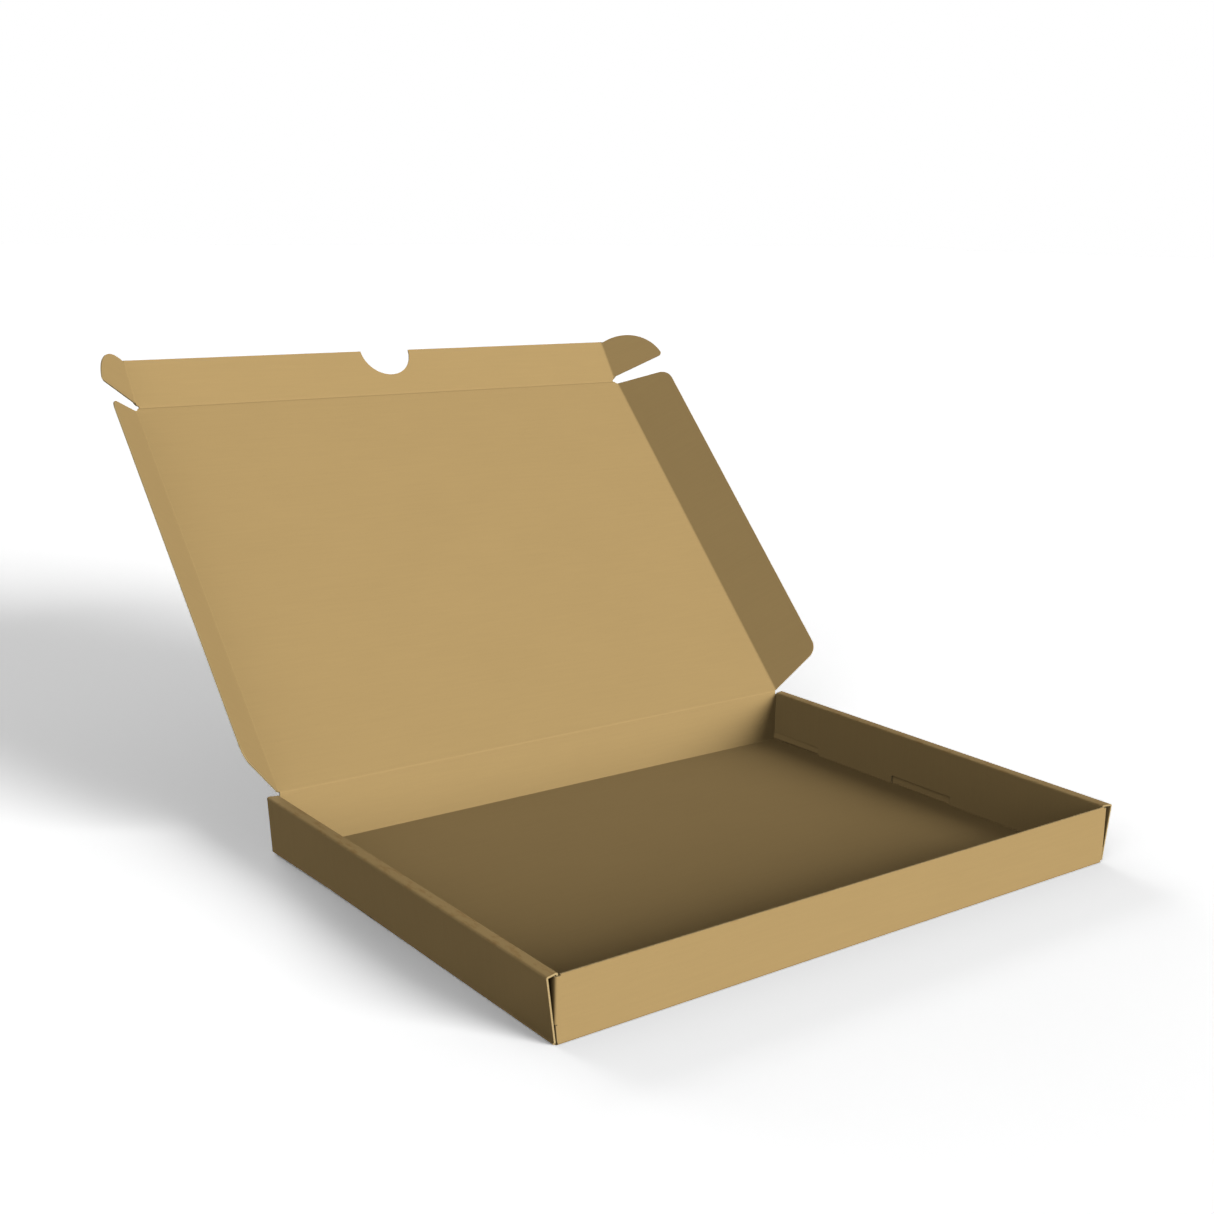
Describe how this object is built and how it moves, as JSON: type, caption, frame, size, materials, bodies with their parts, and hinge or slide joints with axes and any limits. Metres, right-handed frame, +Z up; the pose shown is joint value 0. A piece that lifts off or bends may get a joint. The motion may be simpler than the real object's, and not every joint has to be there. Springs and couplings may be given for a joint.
{
  "type": "mailer box",
  "caption": "Flat card mailer box folded from a die-cut blank: tray with rolled side walls, open lid with side flaps, tuck flap with ears and a thumb notch.",
  "frame": {"origin": "middle of the underside of the tray floor, on the surface the box stands on", "axes": "+X along the front wall to the right, +Y from the front wall towards the lid hinge, +Z up"},
  "size_m": [0.3504, 0.3953, 0.2171],
  "materials": {
    "kraft_card": "matte uncoated kraft"
  },
  "bodies": {
    "tray": {"tray": "kraft_card"},
    "lid": {"lid_panel": "kraft_card"},
    "left_flap": {"left_side_flap": "kraft_card"},
    "right_flap": {"right_side_flap": "kraft_card"},
    "tuck": {"tuck_flap": "kraft_card"},
    "left_ear": {"left_tuck_ear": "kraft_card"},
    "right_ear": {"right_tuck_ear": "kraft_card"}
  },
  "joints": [
    {"name": "lid_hinge", "type": "hinge", "parent": "tray", "child": "lid", "pos_m": [0, 0.1121, 0.0288], "axis": [1, 0, 0], "range_deg": [-46, 134]},
    {"name": "left_flap_crease", "type": "hinge", "parent": "lid", "child": "left_flap", "pos_m": [-0.1532, 0.1121, 0.0288], "axis": [0, 0.6947, 0.7193], "range_deg": [-31, 90]},
    {"name": "right_flap_crease", "type": "hinge", "parent": "lid", "child": "right_flap", "pos_m": [0.1532, 0.1121, 0.0288], "axis": [0, -0.6947, -0.7193], "range_deg": [-31, 90]},
    {"name": "tuck_crease", "type": "hinge", "parent": "lid", "child": "tuck", "pos_m": [0, 0.26701, 0.18921], "axis": [1, 0, 0], "range_deg": [-10, 83]},
    {"name": "left_ear_crease", "type": "hinge", "parent": "tuck", "child": "left_ear", "pos_m": [-0.1521, 0.26701, 0.18921], "axis": [0, 0.5592, 0.829], "range_deg": [-6, 45]},
    {"name": "right_ear_crease", "type": "hinge", "parent": "tuck", "child": "right_ear", "pos_m": [0.1521, 0.26701, 0.18921], "axis": [0, -0.5592, -0.829], "range_deg": [-6, 45]}
  ],
  "couplings": [
    {"joint": "left_flap_crease", "follows": "lid_hinge", "ratio": 0.67},
    {"joint": "right_flap_crease", "follows": "lid_hinge", "ratio": 0.67},
    {"joint": "left_ear_crease", "follows": "tuck_crease", "ratio": 0.53},
    {"joint": "right_ear_crease", "follows": "tuck_crease", "ratio": 0.53}
  ]
}
